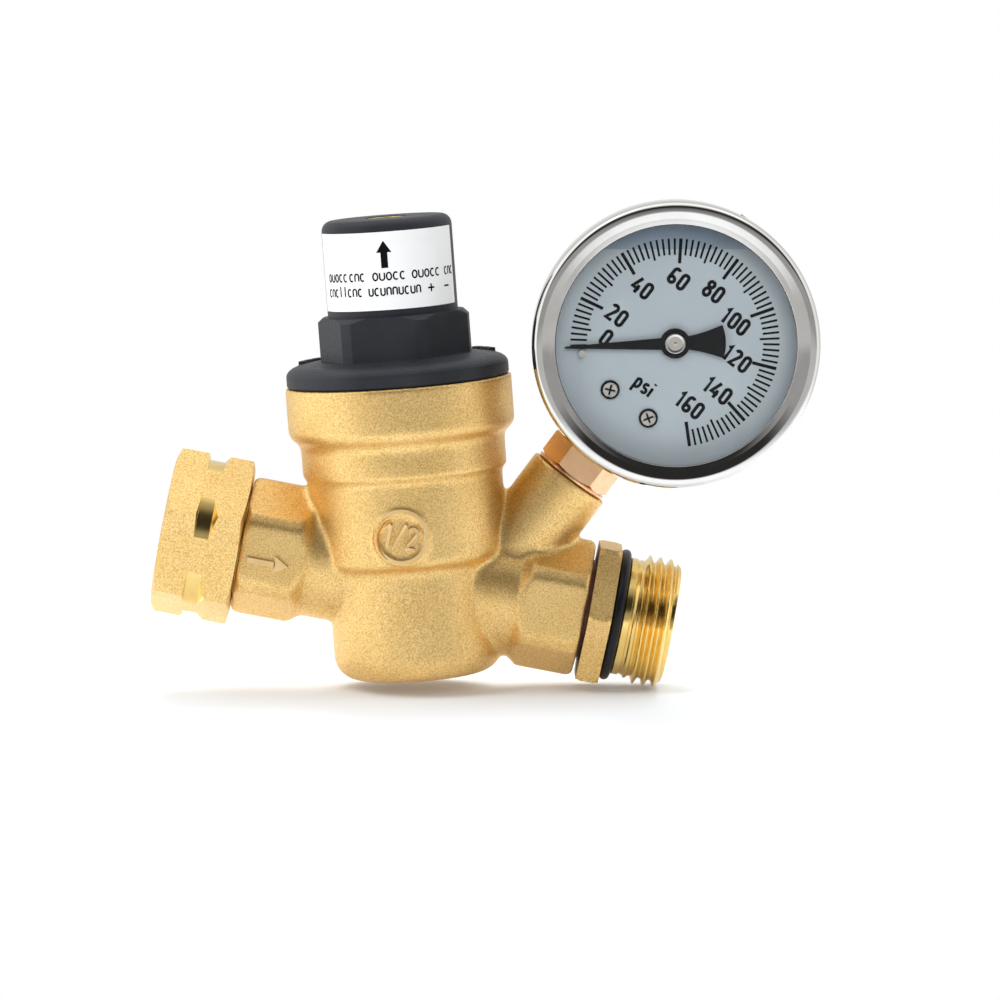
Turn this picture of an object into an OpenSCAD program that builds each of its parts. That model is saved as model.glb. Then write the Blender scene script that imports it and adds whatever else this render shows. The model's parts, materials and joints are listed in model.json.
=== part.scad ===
// Water pressure regulator with a liquid-filled pressure gauge.
// Millimetres. +X is the flow direction, +Z is up, the dial faces -Y.
// The origin is the centre of the inlet swivel nut's mouth.

/* [Body] */
// distance from the inlet mouth to the centre of the body
body_x = 52.6; // [52.6:0.1:56]
// lean of the spring housing towards the inlet, degrees
body_tilt = 15; // [10:1:18]
// radius of the widest part of the body, under the bonnet
body_top_r = 23.5; // [23.2:0.1:25]
// radius of the lower bowl
bowl_r = 17.6; // [16.5:0.1:18.5]
// depth of the bowl below the port axis
bowl_depth = 20.5; // [19:0.5:23]
// height of the body's top face above the port axis
body_top = 41; // [41:1:41]
// radius of the neck of each port
port_neck_r = 12.4; // [12:0.1:13]
// width across flats of the forged port hexagons
port_af = 26; // [25.5:0.5:27]

/* [Ports] */
// crest radius of the 3/4 inch garden hose thread
hose_r = 13.5; // [13.5:0.1:13.5]
// pitch of the garden hose thread
hose_pitch = 2.209; // [2.209:0.001:2.209]
// width across flats of the swivel nut
nut_af = 30.95; // [30.5:0.05:32]
// length of the swivel nut
nut_len = 16.3; // [16.3:0.1:16.3]

/* [Bonnet] */
// width across flats of the bonnet hexagon
bonnet_af = 28.5; // [28:0.5:30]
// radius of the label barrel
barrel_r = 13.5; // [13.5:0.1:14]
// height of the bonnet's top above the port axis
bonnet_top = 75; // [75:1:78]

/* [Gauge] */
// lean of the gauge towards the outlet, degrees
gauge_tilt = 26; // [22:1:28]
// distance from the port axis to the centre of the dial
gauge_t = 65.2; // [65.2:0.1:66]
// outer radius of the bezel
bezel_r = 29.5; // [29.4:0.1:30]
// radius of the window
window_r = 24.6; // [24:0.1:25]

/* [Hidden] */
$fn = 96;

eps = 0.01;               // overlap that joins two solids
gap = 0.05;               // running clearance on a radius
brass = [0.80, 0.64, 0.37];
bright_brass = [0.88, 0.70, 0.34];
black_plastic = [0.13, 0.14, 0.16];
rubber = [0.06, 0.06, 0.07];
steel = [0.74, 0.75, 0.77];

// heights along the body axis, from the port axis
web_s = 3;                // underside of the web that carries the seat
seat_top = 7;             // top of the web
chamber_top = 14;         // top of the outlet chamber
thread_s = 30;            // shoulder under the bonnet's thread
piston_s = 17.5;          // underside of the piston head, valve fully open
piston_len = 10.5;        // length of the piston head
lip_s = 2.2;              // sealing lip of the seat
lift = 2.5;               // gap between the lip and the disc, fully open
spring_bottom = 20.5;
spring_top = 58;
flange_s = 41;            // underside of the bonnet's flange
flange_r = 23.1;
hex_s = 46;               // foot of the bonnet's hexagon
barrel_s = 55.1;          // foot of the label barrel
label_from = -168.5;      // left edge of the label, from the outlet side
label_arc = 151;

// radii inside the body
piston_bore_r = 15;
bonnet_thread_r = 20.5;
outlet_chamber_r = 12;
inlet_chamber_r = 10;
seat_thread_r = 10.5;
groove_r = 15.95;         // groove round the swivel nut
collar_af = 28;           // hexagon collar of the outlet nipple
port_thread_r = 10.4;     // 1/2 inch pipe thread in each port
port_corner_r = 14.3;     // the port hexagons' corners are turned down to this
tap_r = 6.3;              // 1/4 inch pipe thread for the gauge
screw_r = 4.25;           // adjusting screw
stem_r = 3.5;

// the gauge, along its own axis and in the dial's frame
boss_r = 8.75;
boss_t = 29.4;            // end face of the boss
boss_x = 15.3;            // foot of the gauge axis, beyond the body centre
tap_t = 19.4;
case_r = 27.5;
case_back = -12;
dial_h = 9.5;             // face of the dial, towards the viewer
dial_t = 0.6;
lens_back = 12.2;
lens_front = 14.6;
bezel_front = 18;
wall = 0.8;
dial_screw_r = 16.4;
dial_screw_a = 17.4;
rest_a = -129;            // pointer on its stop, clockwise from the dial's top
stop_gap = 3.9;           // angle from the resting pointer to the middle of its stop

// movement
centre_dist = 12;
pinion_teeth = 12;
sector_teeth = 108;       // as if the sector were a whole wheel
tooth_m = 2 * centre_dist / (pinion_teeth + sector_teeth);
sector_dir = 225;         // from the pointer's centre to the sector's pivot
sector_arm = 5;
plate_back = 7.1;         // how far the plates reach past the pointer's centre
tail_dir = -50;
tip_r = 19.5;
tip_dir = -40;
link_r = 18.2;            // where the link is pinned to the tip
tube_start = 250;
tube_h = -3.2;            // middle of the flattened tube, behind the movement

function arc(cx, cz, r, a0, a1, n = 6) =
  [for (i = [0:n]) [cx + r * cos(a0 + (a1 - a0) * i / n), cz + r * sin(a0 + (a1 - a0) * i / n)]];
function polar(r, a) = [r * cos(a), r * sin(a)];
function hex_r(af) = af / sqrt(3);

module on_body_axis() {
  translate([body_x, 0, 0]) rotate([0, -body_tilt, 0]) children();
}

module on_gauge_axis() {
  translate([body_x + boss_x, 0, 0]) rotate([0, gauge_tilt, 0]) children();
}

// local +X is the dial's right, +Y its top and +Z points at the viewer
module on_dial() {
  on_gauge_axis() translate([0, 0, gauge_t]) rotate([90, 0, 0]) children();
}

// local +Z is the flow direction, measured from the inlet mouth
module on_ports() {
  rotate([0, 90, 0]) children();
}

module ring(ro, ri, z0, z1) {
  difference() {
    translate([0, 0, z0]) cylinder(r = ro, h = z1 - z0);
    translate([0, 0, z0 - 1]) cylinder(r = ri, h = z1 - z0 + 2);
  }
}

module disc(r, z0, z1) {
  translate([0, 0, z0]) cylinder(r = r, h = z1 - z0);
}

module torus(r, w, z) {
  translate([0, 0, z]) rotate_extrude() translate([r, 0]) circle(r = w, $fn = 48);
}

// a hexagon whose corners are turned down at its ends; low and high are how steeply, 0 for square
module hex_bar(af, z0, z1, low = 0.62, high = 0.62) {
  r = hex_r(af);
  foot = (r - af / 2) * low;
  top = (r - af / 2) * high;
  intersection() {
    translate([0, 0, z0]) cylinder(r = r, h = z1 - z0, $fn = 6);
    union() {
      disc(r + 1, low > 0 ? z0 + foot : z0 - 1, high > 0 ? z1 - top : z1 + 1);
      if (low > 0) translate([0, 0, z0]) cylinder(r1 = af / 2 - 0.1, r2 = r + 0.02, h = foot + 0.02);
      if (high > 0) translate([0, 0, z1 - top - 0.02])
        cylinder(r1 = r + 0.02, r2 = af / 2 - 0.1, h = top + 0.02);
    }
  }
}

// ---------------------------------------------------------------- body

// the turned outline of the forging, from the bowl up to the bonnet's seat
module body_turned() {
  corner = 5;
  rotate_extrude() polygon(concat(
    [[0, -bowl_depth]],
    arc(bowl_r - corner, corner - bowl_depth, corner, -90, 0, 8),
    [[bowl_r, 1.8], [bowl_r + 0.5, 3], [19.8, 4], [20.2, 5]],
    [[20.2, 21], [20.6, 21.8], [21.2, 22.4], [21.2, 28], [21.6, 29.2]],
    [[body_top_r - 0.6, 30.4], [body_top_r, 31.6], [body_top_r, body_top - 0.25]],
    [[body_top_r - 0.25, body_top], [0, body_top]]));
}

// one port: a round neck and a hexagon with turned corners, along local +Z
module port_outside(neck_end, hex_end) {
  disc(port_neck_r, 0, hex_end - 0.5);
  intersection() {
    cylinder(r = hex_r(port_af), h = hex_end, $fn = 6);
    rotate_extrude() polygon([[0, neck_end], [port_neck_r, neck_end],
      [port_corner_r, neck_end + 2.4], [port_corner_r, hex_end - 0.8],
      [port_corner_r - 0.8, hex_end], [0, hex_end]]);
  }
}

module body_passages() {
  on_body_axis() {
    disc(bonnet_thread_r, thread_s, body_top + 1);
    disc(piston_bore_r, chamber_top, thread_s + 1);
    disc(outlet_chamber_r, seat_top, chamber_top + 1);
    disc(seat_thread_r, web_s, seat_top + 1);
    disc(inlet_chamber_r, -14, web_s + eps);
  }
  on_ports() {
    disc(port_thread_r, body_x - 37, body_x - 23);
    disc(port_thread_r, body_x + 23, body_x + 37);
  }
  // the inlet passage runs low, into the chamber under the seat
  translate([body_x - 24, 0, -5]) rotate([0, 90, 0]) cylinder(r = 4.6, h = 20);
  // the outlet passage slopes down from the chamber over the seat
  translate([body_x + 8.5, 0, 16]) rotate([0, 132.6, 0]) cylinder(r = 3.8, h = 24);
  on_gauge_axis() {
    disc(tap_r, tap_t, boss_t + 1);
    disc(1.75, 7, tap_t + 1);
  }
}

module size_ring() {
  // the raised ring on the front of the body, that carries the size mark
  translate([body_x - 3.8, -20.6, 9.5]) rotate([90, 0, 0]) ring(5.7, 4.9, -2.2, 0);
}

module valve_body() color(brass) difference() {
  union() {
    on_body_axis() body_turned();
    translate([body_x, 0, 0]) rotate([0, 90, 0]) port_outside(21.8, 36.2);
    translate([body_x, 0, 0]) rotate([0, -90, 0]) port_outside(21.7, 36);
    on_gauge_axis() disc(boss_r, 0, boss_t);
    size_ring();
  }
  body_passages();
}

module bonnet_hexagon() {
  intersection() {
    rotate([0, 0, 52]) cylinder(r = hex_r(bonnet_af), h = barrel_s, $fn = 6);
    rotate_extrude() polygon([[0, hex_s - 2], [15.75, hex_s - 2], [15.75, barrel_s - 1],
      [14.6, barrel_s], [0, barrel_s]]);
  }
}

module bonnet_outside() {
  skirt = bonnet_thread_r - 0.1;
  top_round = 2.2;
  rotate_extrude() polygon(concat(
    [[0, 31.4], [skirt - 0.8, 31.4], [skirt, 32.2], [skirt, flange_s], [22.6, flange_s]],
    [[flange_r, flange_s + 0.5], [flange_r, flange_s + 2.3]],
    [for (a = [15:15:90]) [19 + (flange_r - 19) * cos(a), flange_s + 2.3 + 2.3 * sin(a)]],
    [[16.2, hex_s + 0.1], [barrel_r, hex_s + 0.1]],
    arc(barrel_r - top_round, bonnet_top - top_round, top_round, 0, 90, 6),
    [[0, bonnet_top]]));
  bonnet_hexagon();
}

module bonnet() color(black_plastic) on_body_axis() difference() {
  union() {
    bonnet_outside();
    // two rows of small raised bars round the back of the flange
    for (side = [13, 142], k = [0:2]) rotate([0, 0, side + k * 9])
      rotate_extrude(angle = 7) translate([19.8, flange_s + 2]) square([1.3, 3.05]);
  }
  rotate_extrude() polygon([[0, 31], [16.5, 31], [16.5, 43], [11.5, 46.5], [11.5, 63], [0, 63]]);
  disc(screw_r + gap, 60, bonnet_top + 1);
}

// a printed strip round the front half of the barrel
module bonnet_label() color([0.93, 0.93, 0.92]) on_body_axis()
  rotate([0, 0, label_from]) translate([0, 0, 56.6])
    rotate_extrude(angle = label_arc) translate([barrel_r + 0.01, 0]) square([0.12, 16]);

module bonnet_gasket() color(rubber) on_body_axis()
  ring(bonnet_thread_r - 0.2, piston_bore_r + 0.4, thread_s, thread_s + 1.3);

// ---------------------------------------------------------------- valve

module seat_insert() color(bright_brass) on_body_axis() rotate_extrude() polygon([
  [6, lip_s + 0.3], [6.2, lip_s], [6.8, lip_s], [7.2, lip_s + 0.5], [7.2, web_s],
  [10.3, web_s + 0.1], [10.45, web_s + 0.3], [10.45, 4.4], [9.4, 4.4], [9.4, 5.6],
  [10.45, 5.6], [10.45, seat_top], [11.6, seat_top], [11.6, 8.1], [11.2, 8.5], [6.4, 8.5],
  [6, 8.1]]);

module seat_oring() color(rubber) on_body_axis() torus(9.95, 0.5, 5);

// the piston slides on the body axis; everything on it is placed at its fully open rest
module piston() color(bright_brass) on_body_axis() rotate_extrude() polygon([
  [0, -8.5], [1.8, -8.5], [2, -8.3], [2, lip_s - lift], [stem_r, lip_s - lift],
  [stem_r, piston_s - 1.5], [5, piston_s], [14.4, piston_s], [14.95, piston_s + 0.5],
  [14.95, 19.2], [12.95, 19.2], [12.95, 21.3], [14.95, 21.3], [14.95, 23.5], [13.85, 23.5],
  [13.85, 26], [14.95, 26], [14.95, 27.5], [14.4, piston_s + piston_len],
  [11.4, piston_s + piston_len], [10.6, 27.2], [10.6, spring_bottom], [0, spring_bottom]]);

module piston_oring() color(rubber) on_body_axis() torus(13.92, 0.95, 20.25);

module piston_guide_ring() color([0.9, 0.89, 0.85]) on_body_axis() rotate([0, 0, 5])
  translate([0, 0, 23.6]) rotate_extrude(angle = 352) translate([13.9, 0]) square([1.02, 2.3]);

module disc_holder() color(bright_brass) on_body_axis() rotate_extrude() polygon([
  [2.05, -5], [7.6, -5], [8.2, -4.4], [8.2, -1], [7.75, -1], [7.75, -2.85], [2.05, -2.85]]);

module disc_washer() color(rubber) on_body_axis() rotate_extrude() polygon([
  [2.05, -2.8], [7.7, -2.8], [7.7, lip_s - lift - 0.2], [7.5, lip_s - lift],
  [2.05, lip_s - lift]]);

module disc_nut() color(bright_brass) on_body_axis() difference() {
  hex_bar(7, -7.6, -5.05, high = 0);
  disc(2.05, -9, -4);
}

module range_spring() color(steel) on_body_axis() {
  coil_r = 8.5;
  wire_r = 1.5;
  closed = 3.25;                       // pitch of the closed end coils
  free_turns = 5;
  length = spring_top - spring_bottom - 2 * wire_r;
  pitch = (length - 2 * closed) / free_turns;
  rises = concat([closed / 2, closed / 2], [for (i = [1:2 * free_turns]) pitch / 2],
    [closed / 2, closed / 2]);
  // each half turn is a half ring, tipped so that its far end meets the next one
  for (i = [0:len(rises) - 1]) {
    foot = spring_bottom + wire_r + sum_to(rises, i);
    tip = asin(rises[i] / (2 * coil_r));
    side = i % 2 == 0 ? 1 : -1;
    translate([0, 0, foot + rises[i] / 2]) rotate([0, side * tip, 0])
      rotate([0, 0, side > 0 ? 0 : 180]) rotate_extrude(angle = 180)
        translate([coil_r / cos(tip), 0]) circle(r = wire_r, $fn = 48);
  }
}
function sum_to(list, n) = n == 0 ? 0 : list[n - 1] + sum_to(list, n - 1);

module spring_seat() color(steel) on_body_axis() difference() {
  union() {
    disc(11.3, spring_top, 60.8);
    translate([0, 0, 54.6]) cylinder(r1 = 5.8, r2 = 6.6, h = spring_top - 54.6 + eps);
  }
  translate([0, 0, 58.9]) cylinder(r1 = 0.1, r2 = 3.4, h = 2);
}

module adjusting_screw() color(bright_brass) on_body_axis() difference() {
  rotate_extrude() polygon([[0, 59.3], [2.4, 61], [3.6, 61], [screw_r, 61.7],
    [screw_r, 73.7], [screw_r - 0.6, 74.3], [0, 74.3]]);
  translate([-5, -0.6, 72.6]) cube([10, 1.2, 3]);
}

// ---------------------------------------------------------------- ports

module swivel_nut() color(brass) on_ports() difference() {
  intersection() {
    rotate([0, 0, 9]) hex_bar(nut_af, 0, nut_len, low = 0.36, high = 0.2);
    // the turned groove only cuts the corners; its inner side slopes
    rotate_extrude() polygon([[0, -1], [20, -1], [20, 6.2], [groove_r, 6.8], [groove_r, 9.9],
      [20, 12.5], [20, nut_len + 1], [0, nut_len + 1]]);
  }
  disc(hose_r + 0.1, -1, 8.4);
  disc(hose_r + 0.6, 8.4, 13.2);
  disc(10.53, 13, nut_len + 1);
}

module inlet_tailpiece() color(bright_brass) on_ports() rotate_extrude() polygon([
  [7.3, 11.2], [12.7, 11.2], [13, 11.5], [13, 13.1], [10.45, 13.1],
  [10.45, body_x - 36.05], [10.35, body_x - 36], [10.35, body_x - 24], [9.8, body_x - 23.4],
  [7.3, body_x - 23.4]]);

module inlet_washer() color(rubber) on_ports() difference() {
  ring(12.9, 7.6, 8.5, 11.15);
  ring(8.6, 7, 9.6, 10.3);
}

module strainer_screen() color(steel) on_ports() {
  ring(8.5, 6.7, 9.7, 10.2);
  difference() {
    // a shallow dome of mesh, bulging into the tailpiece
    intersection() {
      translate([0, 0, 5.3]) difference() {
        sphere(r = 8.4);
        sphere(r = 8);
      }
      disc(6.9, 9.8, 16);
    }
    for (ring_i = [1:3]) for (k = [0:6 * ring_i - 1])
      rotate([0, 0, k * 60 / ring_i]) translate([ring_i * 1.75, 0, 8]) cylinder(r = 0.45, h = 8, $fn = 4);
    translate([0, 0, 8]) cylinder(r = 0.45, h = 8, $fn = 4);
  }
}

module outlet_nipple() color(bright_brass) on_ports() difference() {
  crest = 0.35;
  flank = (hose_pitch - 2 * crest) / 2;
  root = hose_r - 1.35;
  first = body_x + 46.2;
  union() {
    disc(port_thread_r - 0.05, body_x + 24, body_x + 37.5);
    rotate([0, 0, 30]) hex_bar(collar_af, body_x + 37.4, body_x + 41.7);
    // relief groove for the sealing ring, then the smooth neck
    rotate_extrude() polygon(concat(
      [[0, body_x + 41], [11.6, body_x + 41], [11.6, body_x + 44], [12.3, body_x + 44],
       [12.3, body_x + 45.6], [root, body_x + 45.8]],
      // thread crests as rings
      [for (i = [0:3], p = [0:3]) let (x = first + i * hose_pitch)
        [p == 0 || p == 3 ? root : hose_r,
         x + (p == 0 ? 0 : p == 1 ? flank : p == 2 ? flank + crest : 2 * flank + crest)]],
      [[root - 0.5, body_x + 54.7], [0, body_x + 54.7]]));
  }
  disc(8, body_x + 23, body_x + 56);
}

module outlet_oring() color(rubber) on_ports() torus(12.7, 1.08, body_x + 42.85);

// ---------------------------------------------------------------- gauge

module gauge_socket() color([0.83, 0.60, 0.38]) difference() {
  union() {
    on_gauge_axis() {
      disc(tap_r - 0.05, tap_t + 0.4, boss_t + 0.9);
      rotate_extrude() polygon([[0, boss_t + 0.1], [7.6, boss_t + 0.1], [8, boss_t + 0.4],
        [8, boss_t + 0.8], [0, boss_t + 0.8]]);
      hex_bar(14, boss_t + 0.8, boss_t + 7);
      disc(6.2, boss_t + 6.5, 40.5);
    }
    // the block that holds the tube, the movement and the dial
    on_dial() {
      translate([-7, -25.2, -6]) cube([14, 12.2, 5.5]);
      translate([-5.5, -25.2, -1]) cube([11, 8.4, 3.6]);
      for (a = [-dial_screw_a, dial_screw_a]) rotate([0, 0, a])
        translate([0, -dial_screw_r, -1]) cylinder(r = 1.9, h = 1 + dial_h - dial_t);
      for (x = [-4, 4]) translate([x, -20, case_back + wall]) cylinder(r = 2.4, h = 6);
    }
  }
  on_gauge_axis() {
    disc(1.5, tap_t, 47);
    disc(2.05, tap_t, tap_t + 3);
  }
  on_dial() {
    for (a = [-dial_screw_a, dial_screw_a]) rotate([0, 0, a])
      translate([0, -dial_screw_r, 3]) cylinder(r = 1.05, h = 8);
    for (x = [-4, 4]) translate([x, -20, case_back]) cylinder(r = 1.25, h = 9);
    // the mouth that takes the flattened tube
    rotate([0, 0, tube_start]) translate([tip_r - 1.05, -3, tube_h - 1.95]) cube([2.1, 4.2, 3.9]);
    translate([-6.2, -18.6, -1.9]) rotate([0, 90, 0]) cylinder(r = 0.8, h = 6.5);
  }
}

module gauge_restrictor() color(steel) on_gauge_axis() difference() {
  disc(2, tap_t + 0.6, tap_t + 2.8);
  disc(0.4, tap_t, tap_t + 4);
  translate([-3, -0.25, tap_t]) cube([6, 0.5, 1]);
}

module gauge_case() color(steel) difference() {
  on_dial() rotate_extrude() polygon(concat(
    [[0, case_back]],
    arc(case_r - 3, case_back + 3, 3, -90, 0, 6),
    [[case_r, 9.6], [28.6, 9.6], [28.6, 11], [case_r - wall, 11]],
    arc(case_r - 3, case_back + 3, 3 - wall, 0, -90, 6),
    [[0, case_back + wall]]));
  on_gauge_axis() disc(6.3, 30, 44);
  on_dial() {
    for (x = [-4, 4]) translate([x, -20, case_back - 1]) cylinder(r = 1.3, h = 3);
    rotate([-90, 0, 0]) translate([0, 0, 24]) cylinder(r = 3.6, h = 6);
  }
}

module case_oring() color(rubber) on_gauge_axis() ring(6.9, 6.25, boss_t + 7.05, 37.35);

module case_screws() color(steel) on_dial() for (x = [-4, 4]) translate([x, -20, 0]) difference() {
  union() {
    disc(1.2, case_back - 0.5, -4.2);
    translate([0, 0, case_back - 1.4]) cylinder(r1 = 2, r2 = 2.4, h = 1.4);
  }
  translate([-3, -0.35, case_back - 2]) cube([6, 0.7, 1.3]);
}

module gauge_bezel() color(steel) on_dial() rotate_extrude() polygon(concat(
  [[28.7, 7], [29.3, 7]],
  [[bezel_r, 7.4], [bezel_r, 13.2]],
  // a rounded rim, then a shallow face that slopes in to the window
  arc(bezel_r - 2.2, bezel_front - 2.2, 2.2, 0, 84, 7),
  [[window_r + 0.2, bezel_front - 0.6], [window_r, bezel_front - 0.9]],
  [[window_r, lens_front + 0.05], [28.7, lens_front + 0.05]]));

module gauge_lens() color([0.9, 0.95, 1, 0.35]) on_dial() rotate_extrude() polygon([
  [0, lens_back], [28.5, lens_back], [28.5, lens_front - 0.3], [28.2, lens_front],
  [0, lens_front]]);

module lens_gasket() color(rubber) on_dial() ring(28.5, 25.6, 11.05, 12.15);

module gauge_dial() color([0.86, 0.88, 0.9]) on_dial() difference() {
  disc(25.2, dial_h - dial_t, dial_h);
  disc(1.2, 0, 12);
  for (a = [-dial_screw_a, dial_screw_a]) rotate([0, 0, a])
    translate([0, -dial_screw_r, 5]) cylinder(r = 1.05, h = 8);
  rotate([0, 0, 90 - rest_a + stop_gap]) translate([19.2, 0, 5]) cylinder(r = 0.5, h = 8);
}

module dial_screws() color(steel) on_dial() for (a = [-dial_screw_a, dial_screw_a])
  rotate([0, 0, a]) translate([0, -dial_screw_r, 0]) difference() {
    union() {
      disc(1, 4, dial_h + 0.1);
      translate([0, 0, dial_h + 0.02]) cylinder(r1 = 1.9, r2 = 1.5, h = 0.9);
    }
    for (q = [40, 130]) rotate([0, 0, q]) translate([-3, -0.2, dial_h + 0.4]) cube([6, 0.4, 1]);
  }

module pointer_stop() color(steel) on_dial() rotate([0, 0, 90 - rest_a + stop_gap])
  translate([19.2, 0, 0]) {
    disc(0.45, dial_h - dial_t - 0.2, dial_h + 0.1);
    disc(0.75, dial_h + 0.02, 11.4);
  }

module fill_plug() color(rubber) on_dial() rotate([-90, 0, 0]) {
  disc(3.5, 25.6, 28.2);
  translate([0, 0, 27.7]) cylinder(r1 = 4.8, r2 = 4.4, h = 1.5);
  disc(4.2, 25.1, 25.9);
}

// ---------------------------------------------------------------- movement

module plate(h0, h1) difference() {
  union() {
    rotate([0, 0, sector_dir]) translate([-plate_back, -4, h0])
      cube([plate_back + 16.5, 8, h1 - h0]);
    translate([-5.4, -13.4, h0]) cube([10.8, 9, h1 - h0]);
  }
  disc(0.55, h0 - 1, h1 + 1);
  translate([0, 0, h0 - 1]) translate(polar(centre_dist, sector_dir)) cylinder(r = 0.75, h = 4);
}

module movement_back_plate() color(brass) on_dial() difference() {
  union() {
    plate(-0.45, 0.55);
    translate([-6.6, -14.9, -0.45]) cube([13.2, 2.4, 1]);
  }
  for (a = [-dial_screw_a, dial_screw_a]) rotate([0, 0, a])
    translate([0, -dial_screw_r, -1]) cylinder(r = 1.95, h = 3);
}

module movement_front_plate() color(brass) on_dial() plate(6, 7);

module movement_pillars() color(bright_brass) on_dial()
  for (p = [polar(1.1 - plate_back, sector_dir), polar(15, sector_dir), [4, -6.5]])
    translate(p) disc(0.9, 0.6, 5.95);

module tube_section(r) {
  translate([tip_r - r, -0.9]) square([2 * r, 1.8]);
  for (y = [-0.9, 0.9]) translate([tip_r, y]) circle(r = r, $fn = 32);
}

module bourdon_tube() color([0.78, 0.52, 0.30]) on_dial() translate([0, 0, tube_h])
  rotate([0, 0, tip_dir]) rotate_extrude(angle = tube_start + 2 - tip_dir) difference() {
    tube_section(1);
    tube_section(0.6);
  }

module bourdon_tip() color(brass) on_dial() difference() {
  translate([0, 0, tube_h - 2.2]) rotate([0, 0, tip_dir - 6]) rotate_extrude(angle = 6)
    translate([tip_r - 2.3, 0]) square([3.9, 4.4]);
  translate(polar(link_r, tip_dir - 3)) disc(0.75, -3, 0);
}

module hairspring() color(bright_brass) on_dial() {
  // flat spiral drawn as half rings whose centres alternate
  step = 0.32;
  for (i = [0:9]) {
    r = 1.7 + i * step;
    shift = (i % 2 == 0) ? 0 : step;
    translate([shift - step / 2, 0, 4.6]) rotate([0, 0, i % 2 == 0 ? 0 : 180])
      rotate_extrude(angle = 180) translate([r - 0.04, 0]) square([0.08, 0.7]);
  }
}

function turned(p, a) = [p[0] * cos(a) - p[1] * sin(a), p[0] * sin(a) + p[1] * cos(a)];

// outline of the teeth whose numbers are in `shown`, root to root
function teeth(count, shown, pitch_r, offset = 0) = [for (i = shown) let (
    a = (i + offset) * 360 / count, root = pitch_r - tooth_m * 1.25, tip = pitch_r + tooth_m * 0.85)
  each [turned([root, -0.15], a), turned([tip, -0.05], a), turned([tip, 0.05], a),
    turned([root, 0.15], a)]];

module pinion_arbor() color(steel) on_dial() {
  disc(0.5, -1.4, 11);
  disc(1.45, 4.5, 5.4);
  rotate([0, 0, sector_dir]) translate([0, 0, 1.8]) linear_extrude(2.4)
    polygon(teeth(pinion_teeth, [0:pinion_teeth - 1], tooth_m * pinion_teeth / 2));
}

// toothed segment with a light fan-shaped window, and the tail that the link pulls
module sector_gear() color(brass) on_dial() translate(polar(centre_dist, sector_dir)) {
  pitch_r = tooth_m * sector_teeth / 2;
  toward = sector_dir - 180;
  first = -13;
  last = 3;
  step = 360 / sector_teeth;
  tail = tail_dir - toward;
  hub = 1.7;
  outline = concat(
    teeth(sector_teeth, [first:last], pitch_r, 0.5),
    [for (a = [80:20:220]) polar(hub, a)],
    [for (a = [-180:30:0]) polar(sector_arm, tail) + polar(0.95, tail + 90 + a)],
    [polar(hub, -55)]);
  difference() {
    rotate([0, 0, toward]) translate([0, 0, 2.4]) linear_extrude(1) polygon(outline);
    rotate([0, 0, toward]) translate([0, 0, 2]) linear_extrude(2) polygon([
      polar(4, -30), polar(pitch_r - 2.2, (first + 1.5) * step), polar(pitch_r - 1.7, -16),
      polar(pitch_r - 2.2, (last - 1) * step), polar(4, 0)]);
    rotate([0, 0, tail_dir]) translate([sector_arm, 0, 0]) disc(0.45, 2, 4);
  }
  disc(0.7, -0.3, 6.8);
}

module tip_link() color(steel) on_dial() {
  from = polar(centre_dist, sector_dir) + polar(sector_arm, tail_dir);
  to = polar(link_r, tip_dir - 3);
  dir = atan2(to[1] - from[1], to[0] - from[0]);
  length = norm(to - from);
  translate([from[0], from[1], 1]) rotate([0, 0, dir]) {
    translate([0, -0.5, 0]) cube([length, 1, 0.6]);
    disc(0.85, 0, 0.6);
    disc(0.4, 0.3, 2.7);
    translate([length, 0, 0]) {
      disc(0.85, 0, 0.6);
      disc(0.4, -3.6, 0.3);
    }
  }
}

// half width of the pointer's flared tail, at a distance behind its centre
function tail_w(d) = 1.35 + 2.05 * pow(max(d - 2, 0) / 7.7, 1.5);

module pointer() color(rubber) on_dial() rotate([0, 0, 90 - rest_a]) difference() {
  tail_r = 10.4;
  tail_a = 19.2;
  union() {
    translate([0, 0, 10.5]) linear_extrude(0.4) polygon(concat(
      [[22.4, 0.22], [22.8, 0], [22.4, -0.22]],
      [for (d = [0:1:9]) [-d, -tail_w(d)]],
      [for (a = [-tail_a:tail_a / 4:tail_a]) -polar(tail_r, -a)],
      [for (d = [9:-1:0]) [-d, tail_w(d)]]));
    disc(3.1, 10.45, 10.92);
  }
  disc(0.95, 10, 12);
}

module pointer_hub() color(steel) on_dial() rotate_extrude() polygon([
  [0.52, 9.9], [0.9, 9.9], [0.9, 10.95], [2.1, 10.95], [2.1, 11.35], [1.85, 11.6], [0, 11.6],
  [0, 11.05], [0.52, 11.05]]);

valve_body();
bonnet();
bonnet_label();
bonnet_gasket();
seat_insert();
seat_oring();
inlet_tailpiece();
inlet_washer();
strainer_screen();
outlet_nipple();
outlet_oring();
gauge_socket();
gauge_restrictor();
gauge_case();
case_oring();
case_screws();
gauge_bezel();
gauge_lens();
lens_gasket();
gauge_dial();
dial_screws();
pointer_stop();
fill_plug();
movement_back_plate();
movement_front_plate();
movement_pillars();
bourdon_tube();
bourdon_tip();
hairspring();
swivel_nut();
spring_seat();
adjusting_screw();
range_spring();
piston();
piston_oring();
piston_guide_ring();
disc_holder();
disc_washer();
disc_nut();
pointer();
pointer_hub();
pinion_arbor();
sector_gear();
tip_link();
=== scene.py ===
"""Looks for the water pressure regulator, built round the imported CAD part.

Sizes in the builders are millimetres in a local frame. Every mesh is stored in metres in the
part's own frame.
"""

import json
import math

import bmesh
import bpy
import numpy as np
from mathutils import Matrix, Vector


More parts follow.
